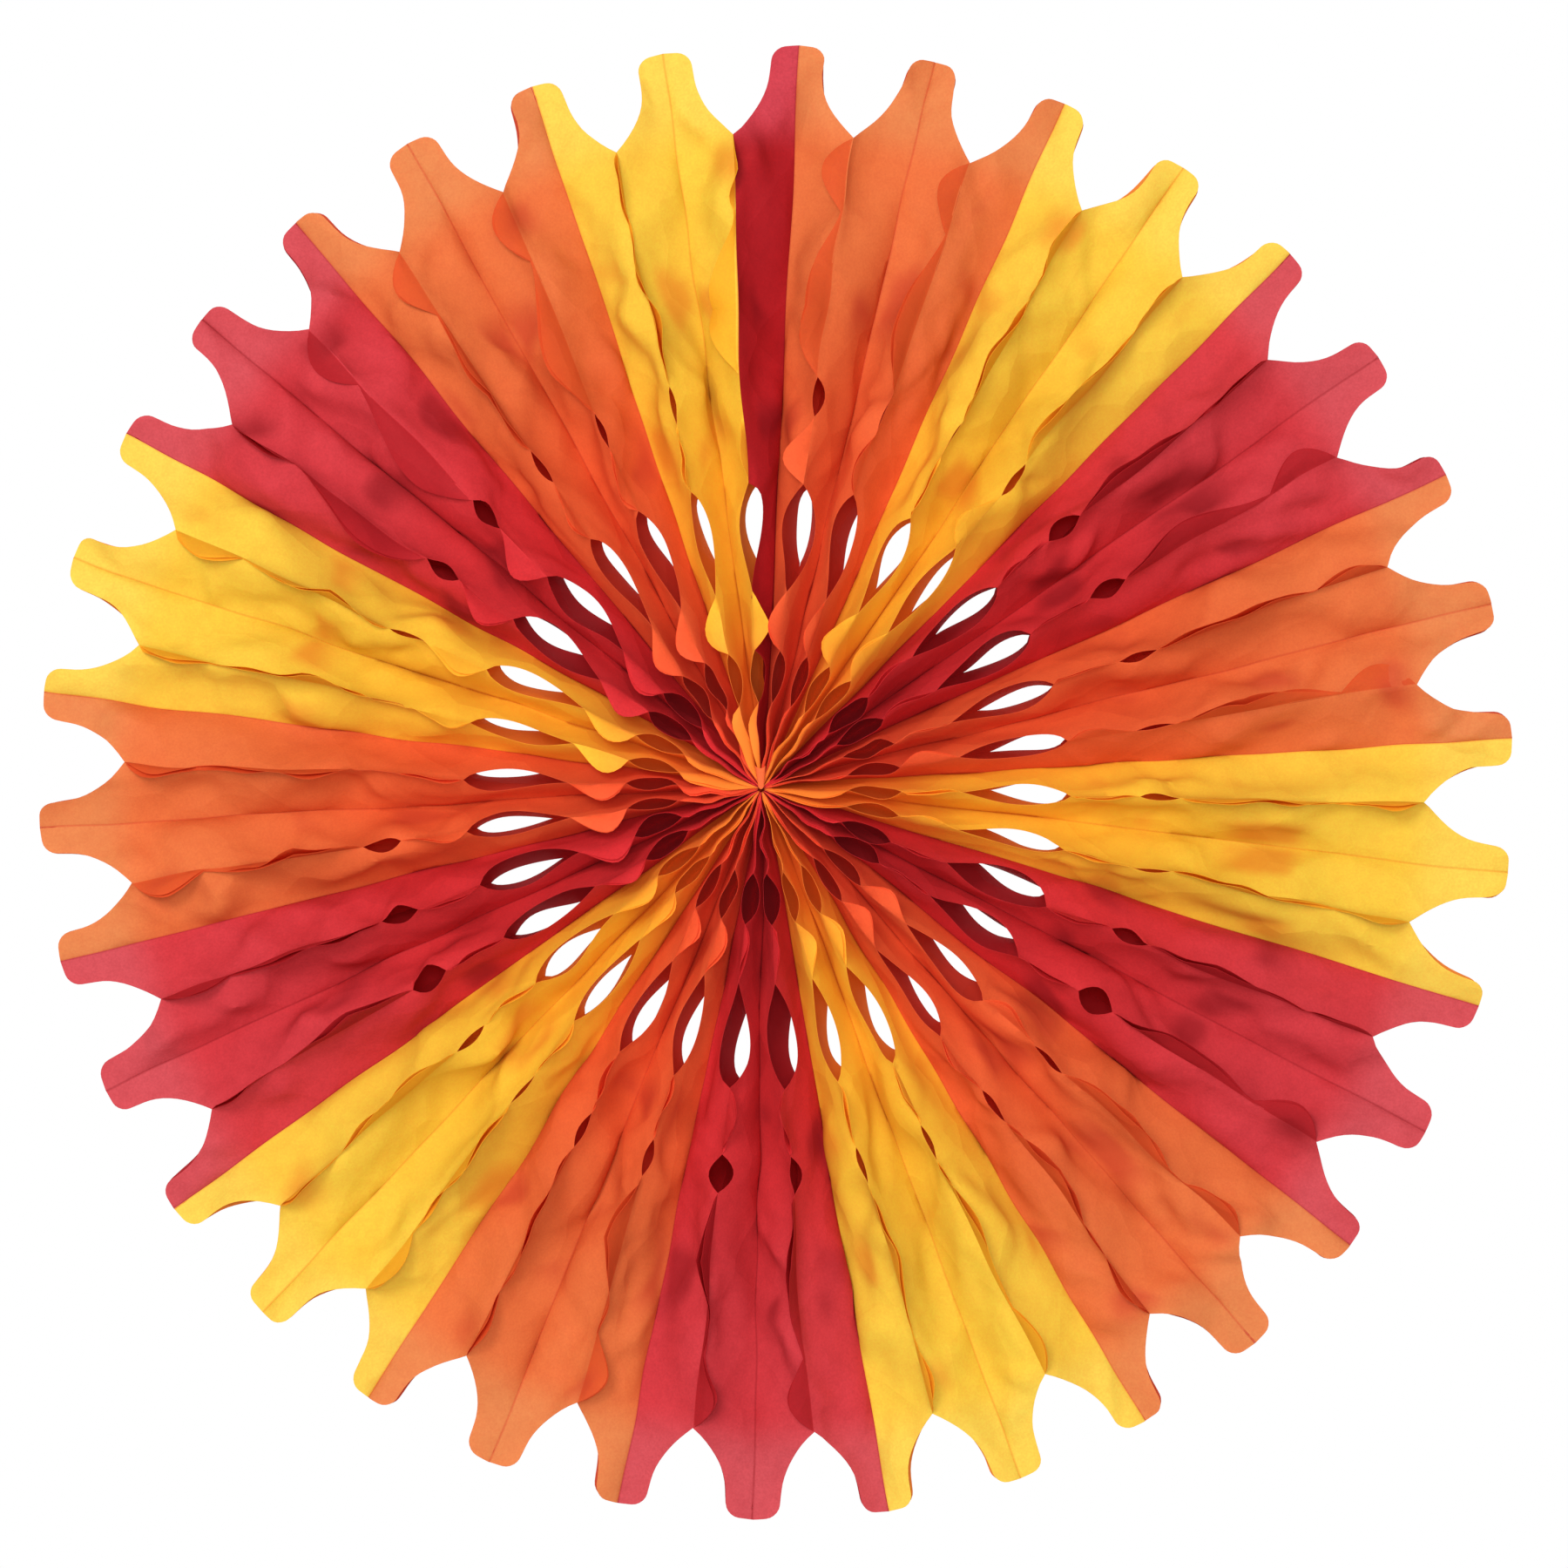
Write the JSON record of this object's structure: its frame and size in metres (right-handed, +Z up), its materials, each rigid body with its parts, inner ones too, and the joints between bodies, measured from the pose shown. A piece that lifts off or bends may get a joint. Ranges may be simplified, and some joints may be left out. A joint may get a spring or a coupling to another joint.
{
  "type": "paper fan medallion",
  "caption": "Round hanging fan of creased die-cut tissue sheets in red, orange and yellow bands, with a toothed rim and rings of lens-shaped holes.",
  "frame": {"origin": "centre of the disc, on its axis and halfway between front and back", "axes": "as it hangs: +Z up, the front faces -Y, and Y is the axis of the disc"},
  "size_m": [0.6338, 0.0738, 0.6346],
  "materials": {
    "red_tissue": "matt translucent tissue",
    "orange_tissue": "matt translucent tissue",
    "yellow_tissue": "matt translucent tissue",
    "thread": "twisted cotton thread"
  },
  "bodies": {
    "root": {"binding_thread": "thread", "orange_cell_01": "orange_tissue", "orange_cell_02": "orange_tissue", "orange_cell_07": "orange_tissue", "orange_cell_08": "orange_tissue", "orange_cell_13": "orange_tissue", "orange_cell_14": "orange_tissue", "orange_cell_19": "orange_tissue", "orange_cell_20": "orange_tissue", "orange_cell_25": "orange_tissue", "orange_cell_26": "orange_tissue", "orange_cell_31": "orange_tissue", "orange_cell_32": "orange_tissue", "red_cell_05": "red_tissue", "red_cell_06": "red_tissue", "red_cell_11": "red_tissue", "red_cell_12": "red_tissue", "red_cell_17": "red_tissue", "red_cell_18": "red_tissue", "red_cell_23": "red_tissue", "red_cell_24": "red_tissue", "red_cell_29": "red_tissue", "red_cell_30": "red_tissue", "red_end_sheet": "red_tissue", "yellow_cell_03": "yellow_tissue", "yellow_cell_04": "yellow_tissue", "yellow_cell_09": "yellow_tissue", "yellow_cell_10": "yellow_tissue", "yellow_cell_15": "yellow_tissue", "yellow_cell_16": "yellow_tissue", "yellow_cell_21": "yellow_tissue", "yellow_cell_22": "yellow_tissue", "yellow_cell_27": "yellow_tissue", "yellow_cell_28": "yellow_tissue", "yellow_cell_33": "yellow_tissue", "yellow_end_sheet": "yellow_tissue"}
  },
  "joints": []
}
